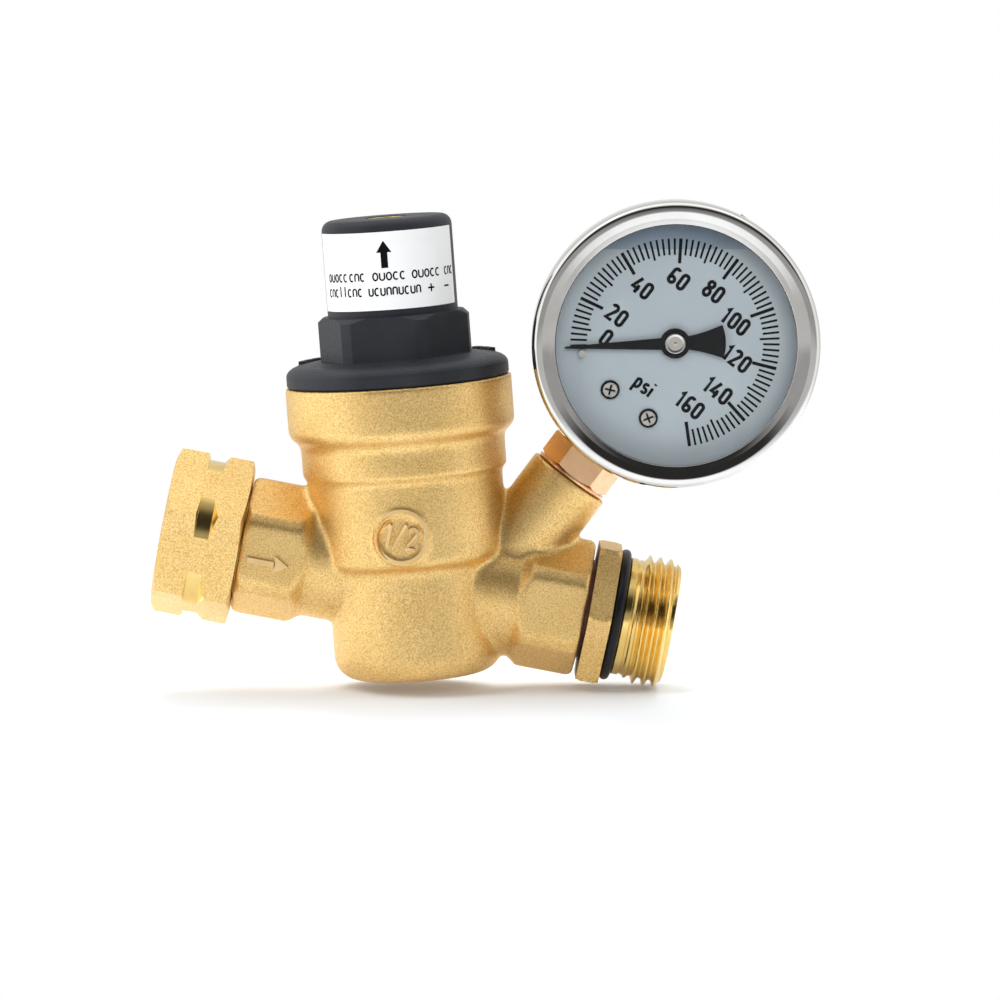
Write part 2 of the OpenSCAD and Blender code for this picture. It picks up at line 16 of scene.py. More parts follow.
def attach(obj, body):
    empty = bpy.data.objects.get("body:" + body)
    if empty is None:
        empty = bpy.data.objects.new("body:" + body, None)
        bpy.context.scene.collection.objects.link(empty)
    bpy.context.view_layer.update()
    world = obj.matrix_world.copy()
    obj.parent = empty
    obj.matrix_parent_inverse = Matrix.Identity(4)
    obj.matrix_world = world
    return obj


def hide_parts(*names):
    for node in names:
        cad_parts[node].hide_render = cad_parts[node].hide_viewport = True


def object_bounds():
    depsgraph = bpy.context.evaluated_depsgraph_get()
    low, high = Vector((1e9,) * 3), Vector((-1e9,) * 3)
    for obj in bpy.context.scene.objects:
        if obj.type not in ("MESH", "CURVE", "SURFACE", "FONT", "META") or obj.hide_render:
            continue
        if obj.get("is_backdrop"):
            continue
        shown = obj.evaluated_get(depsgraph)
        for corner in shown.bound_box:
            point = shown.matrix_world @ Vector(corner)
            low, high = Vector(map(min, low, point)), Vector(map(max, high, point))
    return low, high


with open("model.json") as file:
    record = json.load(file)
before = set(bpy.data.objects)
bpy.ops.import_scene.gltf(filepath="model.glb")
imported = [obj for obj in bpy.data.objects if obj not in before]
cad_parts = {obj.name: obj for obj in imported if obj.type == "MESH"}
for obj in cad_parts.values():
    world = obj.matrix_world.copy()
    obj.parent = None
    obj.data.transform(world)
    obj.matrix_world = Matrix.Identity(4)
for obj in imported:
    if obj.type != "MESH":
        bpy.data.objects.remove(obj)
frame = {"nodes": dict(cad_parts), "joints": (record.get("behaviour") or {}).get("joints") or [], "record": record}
CAD_LOW, CAD_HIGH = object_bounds()

MM = 0.001
JOINTS = {j["name"]: j for j in frame["joints"]}
BODY_AXIS = Vector(JOINTS["piston_slide"]["axis"]).normalized()
BODY_CENTRE = Vector(JOINTS["screw_turn"]["pos_m"])
DIAL_CENTRE = Vector(JOINTS["pointer_turn"]["pos_m"])
GAUGE_LEAN = math.radians(26)

# hose fittings, in millimetres
COLLAR_AF = 28.0
HOSE_R = 13.5
HOSE_PITCH = 25.4 / 11.5
THREAD_DEPTH = 1.35
NUT_GROOVE_R = 15.95

# stand in an outline for a radius that the piece's own shape function works out
ON_THREAD = 98.0
ON_COLLAR = 99.0

# gauge, in millimetres, degrees and psi
DIAL_FACE = 9.5
LIQUID_R = 24.5
LIQUID_LEVEL = 19.4
DIAL_SCREW_R = 16.4
DIAL_SCREW_ANGLE = 17.4
FULL_SCALE_ANGLE = 135.0
FULL_SCALE = 160

# body and label, in millimetres
BODY_R = 20.2
BARREL_R = 13.5
FORGING_VOXEL = 0.42
INK_LOW, INK_HIGH = 0.132, 0.16


def frame_of(origin, x, y, z):
    """Matrix whose local axes are x, y and z, in the part's frame."""
    m = Matrix.Identity(4)
    for i, column in enumerate((x, y, z, origin)):
        for row in range(3):
            m[row][i] = column[row]
    return m


SIDE = Vector((0, 1, 0))
DIAL_RIGHT = Vector((math.cos(GAUGE_LEAN), 0, -math.sin(GAUGE_LEAN)))
DIAL_UP = Vector((math.sin(GAUGE_LEAN), 0, math.cos(GAUGE_LEAN)))
DIAL = frame_of(DIAL_CENTRE, DIAL_RIGHT, DIAL_UP, -SIDE)
BODY = frame_of(BODY_CENTRE, SIDE.cross(BODY_AXIS), SIDE, BODY_AXIS)
PORTS = frame_of(Vector((0, 0, 0)), Vector((0, 0, -1)), SIDE, Vector((1, 0, 0)))
TO_VIEWER = frame_of(Vector((0, 0, 0)), Vector((1, 0, 0)), Vector((0, 0, 1)), -SIDE)
CENTRE_X = BODY_CENTRE.x / MM
MARK_X = CENTRE_X - 3.9
MARK_Z = 9.9
GAUGE_FOOT = DIAL_CENTRE - DIAL_UP * (DIAL_CENTRE.z / DIAL_UP.z)


# ------------------------------------------------------------------ materials


class Nodes:
    """Short hand for building a node material."""

    def __init__(self, name):
        self.material = bpy.data.materials.new(name)
        self.material.use_nodes = True
        self.tree = self.material.node_tree
        self.shader = self.tree.nodes["Principled BSDF"]
        self.coord = self.tree.nodes.new("ShaderNodeTexCoord").outputs["Object"]

    def node(self, kind, **values):
        n = self.tree.nodes.new("ShaderNode" + kind)
        for key, value in values.items():
            if key in n.inputs:
                n.inputs[key].default_value = value
            else:
                setattr(n, key, value)
        return n

    def link(self, a, b):
        self.tree.links.new(a, b)

    def set(self, **values):
        for key, value in values.items():
            self.shader.inputs[key.replace("_", " ")].default_value = value

    def noise(self, size_mm, detail=3.0, rough=0.55, stretch=(1, 1, 1)):
        """A noise pattern whose features are about size_mm across."""
        mapping = self.node("Mapping")
        mapping.inputs["Scale"].default_value = stretch
        self.link(self.coord, mapping.inputs["Vector"])
        n = self.node("TexNoise", Scale=1 / (size_mm * MM), Detail=detail, Roughness=rough)
        self.link(mapping.outputs["Vector"], n.inputs["Vector"])
        return n.outputs["Fac"]

    def ramp(self, source, stops):
        """stops are (position, colour or number) pairs."""
        r = self.node("ValToRGB")
        ramp = r.color_ramp
        while len(ramp.elements) < len(stops):
            ramp.elements.new(0.5)
        for element, (at, value) in zip(ramp.elements, stops):
            element.position = at
            element.color = (*value, 1) if isinstance(value, tuple) else (value, value, value, 1)
        self.link(source, r.inputs["Fac"])
        return r.outputs["Color"]

    def bump(self, source, height_mm, onto=None):
        b = self.node("Bump", Strength=1.0, Distance=height_mm * MM)
        self.link(source, b.inputs["Height"])
        if onto is not None:
            self.link(onto, b.inputs["Normal"])
        return b.outputs["Normal"]

    def bevel(self, radius_mm):
        b = self.node("Bevel", Radius=radius_mm * MM)
        b.samples = 4
        return b.outputs["Normal"]


def blasted_brass():
    """Grit-blasted forging: pale gold with a fine stipple of darker and brighter specks."""
    n = Nodes("blasted_brass")
    grain = n.noise(0.31, 3.0, 0.6)
    broad = n.noise(9.0, 2.0)
    base = n.ramp(broad, [(0.3, (0.87, 0.585, 0.22)), (0.7, (0.92, 0.64, 0.265))])
    specks = [(0.35, (0.67, 0.60, 0.51)), (0.50, (0.96, 0.96, 0.95)), (0.64, (1.18, 1.21, 1.27))]
    tint = n.ramp(grain, specks)
    mixed = n.node("Mix", data_type="RGBA", blend_type="MULTIPLY")
    sockets = [s for s in mixed.inputs if s.enabled]
    sockets[0].default_value = 0.85
    n.link(base, sockets[1])
    n.link(tint, sockets[2])
    n.link([s for s in mixed.outputs if s.enabled][0], n.shader.inputs["Base Color"])
    n.link(n.ramp(grain, [(0.3, 0.50), (0.7, 0.38)]), n.shader.inputs["Roughness"])
    n.link(n.bump(grain, 0.07, n.bump(n.noise(2.5, 2.0), 0.05)), n.shader.inputs["Normal"])
    n.set(Metallic=1.0)
    return n.material


def machined(name, low, high, roughness, bevel=0.25):
    """Turned metal: fine tool marks, slight colour drift, small bright edges."""
    n = Nodes(name)
    marks = n.noise(0.25, 2.0, 0.5, stretch=(3.0, 0.35, 0.35))
    broad = n.noise(7.0, 3.0)
    n.link(n.ramp(broad, [(0.35, low), (0.68, high)]), n.shader.inputs["Base Color"])
    n.link(n.ramp(broad, [(0.3, roughness * 1.35), (0.7, roughness * 0.8)]), n.shader.inputs["Roughness"])
    n.link(n.bump(marks, 0.004, n.bevel(bevel)), n.shader.inputs["Normal"])
    n.set(Metallic=1.0)
    return n.material


def polished_steel():
    """Mirror-bright sheet steel with faint smears and fine scratches."""
    n = Nodes("polished_steel")
    smear = n.noise(5.0, 4.0)
    scratch = n.noise(0.5, 2.0, 0.5, stretch=(0.2, 2.0, 0.2))
    colour = n.ramp(smear, [(0.3, (0.66, 0.645, 0.62)), (0.7, (0.72, 0.71, 0.69))])
    n.link(colour, n.shader.inputs["Base Color"])
    n.link(n.ramp(smear, [(0.35, 0.055), (0.7, 0.09)]), n.shader.inputs["Roughness"])
    n.link(n.bump(scratch, 0.0006), n.shader.inputs["Normal"])
    n.set(Metallic=1.0)
    return n.material


def plastic(name, low, high, roughness, grain_mm=0.3, height=0.006, bevel=0.35, gloss=0.5):
    """Moulded plastic or paint: faint grain and a soft edge."""
    n = Nodes(name)
    n.set(Specular_IOR_Level=gloss)
    grain = n.noise(grain_mm, 4.0, 0.6)
    broad = n.noise(12.0, 2.0)
    n.link(n.ramp(broad, [(0.3, low), (0.7, high)]), n.shader.inputs["Base Color"])
    n.link(n.ramp(grain, [(0.3, roughness * 1.15), (0.7, roughness * 0.85)]), n.shader.inputs["Roughness"])
    n.link(n.bump(grain, height, n.bevel(bevel) if bevel else None), n.shader.inputs["Normal"])
    return n.material


def clear_lens():
    """A thin clear window: light passes straight through, and the surface keeps its reflection."""
    n = Nodes("lens_glass")
    clear = n.node("BsdfTransparent", Color=(0.985, 0.99, 0.99, 1))
    gloss = n.node("BsdfGlossy", Roughness=0.02, Color=(1, 1, 1, 1))
    fresnel = n.node("Fresnel", IOR=1.22)
    smear = n.noise(6.0, 3.0)
    n.link(n.ramp(smear, [(0.3, 0.015), (0.7, 0.03)]), gloss.inputs["Roughness"])
    mix = n.node("MixShader")
    n.link(fresnel.outputs["Fac"], mix.inputs["Fac"])
    n.link(clear.outputs["BSDF"], mix.inputs[1])
    n.link(gloss.outputs["BSDF"], mix.inputs[2])
    n.tree.nodes.remove(n.shader)
    n.link(mix.outputs["Shader"], n.tree.nodes["Material Output"].inputs["Surface"])
    return n.material


def liquid_tint():
    """The air space over the liquid in the gauge looks a little darker and bluer than the rest."""
    n = Nodes("liquid_tint")
    ripple = n.noise(4.0, 2.0)
    clear = n.node("BsdfTransparent")
    n.link(n.ramp(ripple, [(0.3, (0.84, 0.87, 0.91)), (0.7, (0.88, 0.905, 0.935))]), clear.inputs["Color"])
    n.tree.nodes.remove(n.shader)
    n.link(clear.outputs["BSDF"], n.tree.nodes["Material Output"].inputs["Surface"])
    return n.material


def make_materials():
    """Every material by name; the metals and plastics drift between a darker and a lighter colour."""
    metals = {
        "machined_brass": ((0.78, 0.58, 0.20), (0.86, 0.67, 0.27), 0.36, 0.12),
        "worn_brass": ((0.88, 0.61, 0.27), (0.95, 0.69, 0.34), 0.40, 0.15),
        "bright_thread": ((0.86, 0.59, 0.19), (0.95, 0.71, 0.27), 0.17),
        "copper_alloy": ((0.80, 0.47, 0.24), (0.90, 0.60, 0.36), 0.24),
        "screw_steel": ((0.66, 0.63, 0.58), (0.80, 0.77, 0.72), 0.30, 0.1),
        "spring_steel": ((0.45, 0.45, 0.46), (0.60, 0.60, 0.62), 0.28),
    }
    plastics = {
        "black_plastic": ((0.013, 0.014, 0.018), (0.022, 0.024, 0.030), 0.5, 0.6, 0.02, 0.35, 0.28),
        "label_film": ((0.76, 0.765, 0.77), (0.80, 0.805, 0.81), 0.32, 2.0, 0.004, 0),
        "black_rubber": ((0.003, 0.004, 0.007), (0.006, 0.008, 0.012), 0.35, 0.5, 0.01, 0.1, 0.25),
        # dark brown sealant on the outlet neck, made darker to paint the shade of the narrow gap before the collar
        "sealant_and_gap_shade": ((0.13, 0.055, 0.03), (0.20, 0.09, 0.05), 0.45, 0.4, 0.02, 0),
        # painted shade: the dial is white, coloured here a darker blue-grey for the shade of its recess under the
        # lens and liquid
        "dial_paint": ((0.50, 0.56, 0.60), (0.53, 0.59, 0.63), 0.45, 1.5, 0.002, 0, 0.3),
        "pointer_paint": ((0.002, 0.002, 0.003), (0.004, 0.004, 0.005), 0.5, 0.3, 0.002, 0.1, 0.2),
        "print_ink": ((0.002, 0.002, 0.003), (0.004, 0.004, 0.005), 0.6, 0.4, 0.001, 0, 0.1),
        "nylon": ((0.74, 0.72, 0.66), (0.80, 0.78, 0.72), 0.4),
    }
    made = {name: machined(name, *look) for name, look in metals.items()}
    made |= {name: plastic(name, *look) for name, look in plastics.items()}
    made["blasted_brass"] = blasted_brass()
    made["polished_steel"] = polished_steel()
    made["lens_glass"] = clear_lens()
    made["liquid_tint"] = liquid_tint()
    return made


MATERIALS = make_materials()
SLOT_OF = {s["node"]: s["material_slot"] for s in frame["record"]["subparts"]}


# ------------------------------------------------------------------ mesh tools


def smooth(mesh, sharp_deg):
    """Smooth shading with hard edges where the surface turns sharply."""
    mesh.polygons.foreach_set("use_smooth", [True] * len(mesh.polygons))
    mesh.set_sharp_from_angle(angle=math.radians(sharp_deg))


def add_piece(name, verts, faces, place, body, slot_name, ink=None, sharp_deg=32):
    """A closed mesh drawn in millimetres in a local frame, riding on a CAD body.

    ink is the material that shows where it isn't the slot's own.
    """
    mesh = bpy.data.meshes.new(name)
    mesh.from_pydata([place @ (Vector(v) * MM) for v in verts], [], faces)
    bm = bmesh.new()
    bm.from_mesh(mesh)
    bmesh.ops.recalc_face_normals(bm, faces=bm.faces)
    bm.to_mesh(mesh)
    bm.free()
    mesh.validate()
    smooth(mesh, sharp_deg)
    mesh.update()
    mesh.materials.append(MATERIALS[ink or slot_name])
    obj = bpy.data.objects.new(name, mesh)
    bpy.context.scene.collection.objects.link(obj)
    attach(obj, body)
    return obj


def rounded(points, steps=6):
    """Rounds each (r, z, radius) corner of a closed outline into an arc of a few points."""
    out = []
    count = len(points)
    for i, (r, z, radius) in enumerate(points):
        here = Vector((r, z))
        if radius <= 0:
            out.append((r, z))
            continue
        before = Vector(points[i - 1][:2]) - here
        after = Vector(points[(i + 1) % count][:2]) - here
        turn = before.angle(after)
        cut = min(radius / math.tan(turn / 2), before.length * 0.49, after.length * 0.49)
        a = here + before.normalized() * cut
        b = here + after.normalized() * cut
        for k in range(steps + 1):
            t = k / steps
            p = a * (1 - t) ** 2 + here * 2 * t * (1 - t) + b * t**2
            out.append((p.x, p.y))
    return out


def lathe(name, outline, place, body, slot_name, steps=192, shape=None, sharp_deg=32, ink=None):
    """Turns a closed outline of (r, z) about local Z. shape(r, z, angle) may change each radius."""
    verts, faces, rings = [], [], []
    for r, z in outline:
        if abs(r) < 1e-6:
            rings.append([len(verts)] * steps)
            verts.append((0, 0, z))
            continue
        rings.append(list(range(len(verts), len(verts) + steps)))
        for k in range(steps):
            a = 2 * math.pi * k / steps
            q = shape(r, z, a) if shape else r
            verts.append((q * math.cos(a), q * math.sin(a), z))
    for i, low in enumerate(rings):
        high = rings[(i + 1) % len(rings)]
        if low[0] == low[1] and high[0] == high[1]:
            continue
        for k in range(steps):
            m = (k + 1) % steps
            corners = [low[k], low[m], high[m], high[k]]
            faces.append(tuple(dict.fromkeys(corners)))
    return add_piece(name, verts, faces, place, body, slot_name, ink, sharp_deg)


def slab(outline, z0, z1):
    """Vertices and faces of a flat plate with a simple outline."""
    n = len(outline)
    verts = [(x, y, z0) for x, y in outline] + [(x, y, z1) for x, y in outline]
    faces = [tuple(range(n - 1, -1, -1)), tuple(range(n, 2 * n))]
    faces += [(k, (k + 1) % n, n + (k + 1) % n, n + k) for k in range(n)]
    return verts, faces


def joined(parts):
    """Several (verts, faces) shells as one."""
    verts, faces = [], []
    for v, f in parts:
        base = len(verts)
        verts += v
        faces += [tuple(base + i for i in face) for face in f]
    return verts, faces


def polar(r, degrees):
    """The point r from the middle in a direction given in degrees."""
    return (r * math.cos(math.radians(degrees)), r * math.sin(math.radians(degrees)))


def evenly(start, end, count):
    """count + 1 places from start to end."""
    return [start + (end - start) * k / count for k in range(count + 1)]


def hex_radius(af, angle, corner_at):
    """Distance from the axis to a hexagon's side, with a corner at corner_at radians."""
    sixth = math.pi / 3
    a = (angle - corner_at) % sixth - sixth / 2
    return af / 2 / math.cos(a)


# ------------------------------------------------------------------ strokes for numbers


def bow(cx, cy, rx, ry, start, end, steps=10):
    """Points of an elliptical arc, degrees."""
    turns = [math.radians(a) for a in evenly(start, end, steps)]
    return [(cx + rx * math.cos(a), cy + ry * math.sin(a)) for a in turns]


def glyphs():
    """Condensed figures as pen strokes in a box 1 high and about 0.5 wide."""
    top = 0.915
    low = 0.085
    left = 0.085
    right = 0.425
    mid = (left + right) / 2
    r = (right - left) / 2
    zero = bow(mid, top - r, r, r, 180, 0) + bow(mid, low + r, r, r, 0, -180)
    upper = bow(mid, top - r, r * 0.92, r, 90, 450, 20)
    lower = bow(mid, low + 0.19, r, 0.21, 90, 450, 20)
    return {
        "0": ([zero + zero[:2]], 0.51),
        "1": ([[(0.05, 0.74), (0.20, top), (0.20, low - 0.05)]], 0.34),
        "2": ([bow(mid, top - r, r, r, 165, -30) + [(left, low), (right + 0.03, low)]], 0.51),
        "4": ([[(0.30, top + 0.03), (0.05, 0.30), (0.47, 0.30)], [(0.34, 0.52), (0.34, low - 0.06)]], 0.51),
        "6": ([bow(mid + 0.02, top - r, r, r, 40, 180) + bow(mid, low + r, r, r, 180, 540, 20)], 0.51),
        "8": ([upper, lower], 0.51),
        "p": ([[(0.05, 0.62), (0.05, -0.22)], bow(0.17, 0.36, 0.15, 0.25, 150, -150, 14)], 0.42),
        "s": ([bow(0.15, 0.47, 0.12, 0.13, 30, 250, 8) + bow(0.17, 0.21, 0.13, 0.13, 80, -150, 8)], 0.36),
        "i": ([[(0.06, 0.60), (0.06, 0.04)], [(0.06, 0.80), (0.06, 0.90)]], 0.16),
        "/": ([[(0.02, 0.0), (0.36, 1.0)]], 0.38),
    }


GLYPHS = glyphs()


def stroke(points, width, z0, z1):
    """A pen stroke with square ends as a closed plate."""
    p = [Vector(q) for q in points]
    left, right = [], []
    for i, here in enumerate(p):
        a = (here - p[i - 1]).normalized() if i > 0 else None
        b = (p[i + 1] - here).normalized() if i < len(p) - 1 else None
        a = a or b
        b = b or a
        along = (a + b).normalized()
        widen = min(1.6, 1 / max(0.3, along.dot(a)))
        side = Vector((-along.y, along.x)) * width / 2 * widen
        left.append(here + side)
        right.append(here - side)
    n = len(p)
    verts = [(v.x, v.y, z) for z in (z0, z1) for v in left + right]
    faces = []
    for k in range(n - 1):
        faces.append((k, k + 1, n + k + 1, n + k))
        faces.append((2 * n + k, 3 * n + k, 3 * n + k + 1, 2 * n + k + 1))
        faces.append((k, 2 * n + k, 2 * n + k + 1, k + 1))
        faces.append((n + k, n + k + 1, 3 * n + k + 1, 3 * n + k))
    faces.append((0, n, 3 * n, 2 * n))
    faces.append((n - 1, 3 * n - 1, 4 * n - 1, 2 * n - 1))
    return verts, faces


def written(text, height, pen, z0, z1, at):
    """Shells for a short run of figures centred on a point."""
    gap = 0.10
    widths = [GLYPHS[c][1] + gap for c in text]
    x = at[0] - (sum(widths) - gap) * height / 2
    shells = []
    for c, w in zip(text, widths):
        for s in GLYPHS[c][0]:
            pts = [(x + px * height, at[1] + (py - 0.5) * height) for px, py in s]
            shells.append(stroke(pts, pen, z0, z1))
        x += w * height
    return shells


# ------------------------------------------------------------------ body


def neighbours_mean(co, edges, count):
    """The mean place of each vertex's neighbours."""
    start, end = edges[:, 0], edges[:, 1]
    total = np.zeros_like(co)
    for axis in range(3):
        total[:, axis] = np.bincount(start, co[end, axis], count) + np.bincount(end, co[start, axis], count)
    degree = np.bincount(edges.ravel(), minlength=count)[:, None]
    return total / np.maximum(degree, 1)


def relax(mesh, rounds, weight):
    """Moves each vertex halfway to its neighbours' mean in each round; weight says where, from 0 to 1."""
    co, _, edges = mesh_arrays(mesh)
    share = 0.5 * weight[:, None]
    for _ in range(rounds):
        co = co + (neighbours_mean(co, edges, len(co)) - co) * share
    mesh.vertices.foreach_set("co", co.ravel())
    mesh.update()


def mesh_arrays(mesh):
    """Vertex places, vertex normals and edges of a mesh, as arrays."""
    co = np.empty(len(mesh.vertices) * 3)
    normal = np.empty(len(mesh.vertices) * 3)
    edges = np.empty(len(mesh.edges) * 2, dtype=np.int64)
    mesh.vertices.foreach_get("co", co)
    mesh.vertices.foreach_get("normal", normal)
    mesh.edges.foreach_get("vertices", edges)
    return co.reshape(-1, 3), normal.reshape(-1, 3), edges.reshape(-1, 2)


def from_line(co, point, axis):
    """Distance of each vertex along a line from a point on it, and away from the line, in millimetres."""
    off = (co - np.array(point)) / MM
    along = off @ np.array(axis)
    away = np.linalg.norm(off - along[:, None] * np.array(axis), axis=1)
    return along, away


def fade(values, none, full):
    """0 at none, 1 at full, straight in between."""
    return np.clip((values - none) / (full - none), 0, 1)


def port_roots(co):
    """1 where the ports and the gauge boss grow out of the body, 0 on the turned steps."""
    port_r, boss_r = 15.5, 10.5
    _, from_ports = from_line(co, (0, 0, 0), (1, 0, 0))
    _, from_boss = from_line(co, GAUGE_FOOT, DIAL_UP)
    return np.maximum(fade(from_ports, port_r + 2.5, port_r), fade(from_boss, boss_r + 2.0, boss_r))


def forged_skin(co):
    """1 on the forged skin, 0 on the faces that are machined: both port ends, the boss and the rim."""
    port_face, boss_face, rim_face, band = 35.9, 29.3, 40.9, 1.0
    port, _ = from_line(co, BODY_CENTRE, (1, 0, 0))
    boss, _ = from_line(co, GAUGE_FOOT, DIAL_UP)
    rim, _ = from_line(co, BODY_CENTRE, BODY_AXIS)
    ports = fade(np.abs(port), port_face, port_face - band)
    return ports * fade(boss, boss_face, boss_face - band) * fade(rim, rim_face, rim_face - band)


def hollow_weight(mesh, spread):
    """1 in the inside corners of a surface, fading over a number of edges to 0 away from them."""
    least_hollow, kept_per_edge = 0.03 * MM, 0.93
    co, normal, edges = mesh_arrays(mesh)
    towards = neighbours_mean(co, edges, len(co)) - co
    inward = (towards * normal).sum(1)
    weight = (inward > least_hollow).astype(float) * port_roots(co)
    for _ in range(spread):
        grown = weight.copy()
        np.maximum.at(grown, edges[:, 0], weight[edges[:, 1]] * kept_per_edge)
        np.maximum.at(grown, edges[:, 1], weight[edges[:, 0]] * kept_per_edge)
        weight = grown
    return weight


def forged_body():
    """The body forging: the CAD solid with its inside corners filled and its forged edges softened."""
    source = frame["nodes"]["valve_body"]
    work = bpy.data.objects.new("forging_work", source.data.copy())
    bpy.context.scene.collection.objects.link(work)
    bm = bmesh.new()
    bm.from_mesh(work.data)
    bmesh.ops.remove_doubles(bm, verts=bm.verts, dist=1e-6)
    bm.to_mesh(work.data)
    bm.free()
    remesh = work.modifiers.new("grain", "REMESH")
    remesh.mode = "VOXEL"
    remesh.voxel_size = FORGING_VOXEL * MM
    graph = bpy.context.evaluated_depsgraph_get()
    mesh = bpy.data.meshes.new_from_object(work.evaluated_get(graph))
    bpy.data.objects.remove(work)
    mesh.name = "forged_body"
    mesh.materials.clear()
    mesh.materials.append(MATERIALS["blasted_brass"])
    skin = forged_skin(mesh_arrays(mesh)[0])
    relax(mesh, 4, skin)
    relax(mesh, 26, hollow_weight(mesh, 9))
    relax(mesh, 1, skin)
    smooth(mesh, 50)
    obj = bpy.data.objects.new("forged_body", mesh)
    bpy.context.scene.collection.objects.link(obj)
    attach(obj, "body")
    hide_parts("valve_body")


# ------------------------------------------------------------------ ports


def thread_height(z, angle, start, end):
    """How far the helical ridge stands above its root at a point on the cylinder."""
    u = (z / HOSE_PITCH - angle / (2 * math.pi)) % 1.0
    away = min(u, 1 - u) * HOSE_PITCH
    crest = 0.15
    flank = THREAD_DEPTH * math.tan(math.radians(30))
    ridge = 1 - min(1.0, max(0.0, (away - crest) / flank))
    fade_in = min(1.0, max(0.0, (z - start) / 1.6))
    fade_out = min(1.0, max(0.0, (end - z) / 0.3))
    return THREAD_DEPTH * ridge * fade_in * fade_out


def outlet_fitting():
    """Nipple with its collar, sealing ring groove, relief and male hose thread."""
    c = CENTRE_X
    inner_end, neck_end = c + 24, c + 36.9
    collar_start, collar_end = c + 37.0, c + 41.7
    groove_end = c + 44.0
    thread_start, mouth = c + 46.2, c + 54.7
    bore_r, neck_r, groove_r = 8.0, 10.35, 11.6
    root = HOSE_R - THREAD_DEPTH
    outer = [(9.6, inner_end), (neck_r, inner_end + 0.8), (neck_r, neck_end)]
    outer += [(ON_COLLAR, z) for z in evenly(collar_start, collar_end, 6)]
    outer += [(groove_r, collar_end + 0.05), (groove_r, groove_end), (12.2, groove_end + 0.05)]
    outer += [(12.35, groove_end + 0.3), (12.3, groove_end + 1.5), (root - 0.15, groove_end + 1.8)]
    outer += [(ON_THREAD, z) for z in evenly(thread_start, mouth - 0.7, 84)]
    outer += [(12.1, mouth - 0.15), (11.8, mouth)]
    bore = [(bore_r + 0.6, mouth), (bore_r, mouth - 0.6), (bore_r, inner_end)]

    def shape(r, z, angle):
        if r == ON_COLLAR:
            drop = min(z - collar_start, collar_end - z)
            return min(hex_radius(COLLAR_AF, angle, math.radians(30)), COLLAR_AF / 2 + 1.5 + drop * 2)
        if r == ON_THREAD:
            crest = root + thread_height(z, angle, thread_start, mouth - 0.5)
            return min(crest, HOSE_R + 0.05 - max(0.0, z - (mouth - 1.6)) * 0.9)
        return r

    piece = lathe("hose_nipple", outer + bore, PORTS, "body", "machined_brass", steps=240, shape=shape)
    for look in ("bright_thread", "sealant_and_gap_shade", "blasted_brass"):
        piece.data.materials.append(MATERIALS[look])
    for face in piece.data.polygons:
        along = face.center.x / MM
        out = math.hypot(face.center.y, face.center.z) / MM
        if along > collar_end + 0.8:
            face.material_index = 1
        # the neck in the narrow gap before the collar: sealant colour that also paints the gap's shade
        elif along < collar_start - 0.001 and out > neck_r - 0.35:
            face.material_index = 2
        elif out > 12.5:
            face.material_index = 3
    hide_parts("outlet_nipple")


def nut_thread():
    """Helical ridge of the female thread, standing in from the swivel nut's bore."""
    wall = HOSE_R + 0.2
    start, end = 0.7, 8.3
    height = 1.05

    def shape(r, z, angle):
        if r != ON_THREAD:
            return r
        return wall - 0.12 - height / THREAD_DEPTH * thread_height(z, angle, start - 0.8, end)

    inner = [(ON_THREAD, z) for z in evenly(start, end, 70)]
    outline = [(wall, start - 0.3)] + inner + [(wall, end + 0.1)]
    lathe("nut_thread", outline, PORTS, "swivel_nut", "blasted_brass", steps=200, shape=shape)


# ------------------------------------------------------------------ gauge


def gauge_ring():
    """Polished bezel: rounded outside, a crest, and a broad face sloping in to the window."""
    outline = rounded([
        (28.75, 7.0, 0.2), (29.35, 7.0, 0.3), (29.5, 9.0, 1.0), (29.5, 16.2, 1.6), (28.9, 17.8, 1.3),
        (27.4, 18.0, 0.7), (25.9, 17.55, 1.2), (24.8, 17.3, 0.15), (24.6, 17.0, 0.1), (24.6, 14.65, 0.05),
        (28.75, 14.65, 0.05)], 8)
    piece = lathe("bezel_ring", outline, DIAL, "body", "polished_steel", steps=256, sharp_deg=60)
    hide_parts("gauge_bezel")


def gauge_cup():
    """Pressed steel case with a rolled back edge and a shallow raised panel on its back."""
    outline = rounded([
        (0, -12.0, 0), (20.5, -12.0, 0.6), (21.3, -11.4, 0.6), (24.6, -11.4, 0.5), (27.5, -10.9, 2.6),
        (27.5, 9.6, 0.3), (28.6, 9.65, 0.2), (28.6, 11.0, 0.1), (26.7, 11.0, 0.2), (26.7, -10.2, 2.2),
        (0, -11.2, 0)], 6)
    piece = lathe("case_cup", outline, DIAL, "body", "polished_steel", steps=192, sharp_deg=50)
    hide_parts("gauge_case")


def scale_angle(value):
    """Where a pressure stands on the dial, in degrees from the dial's right."""
    return 90 - FULL_SCALE_ANGLE * (2 * value / FULL_SCALE - 1)


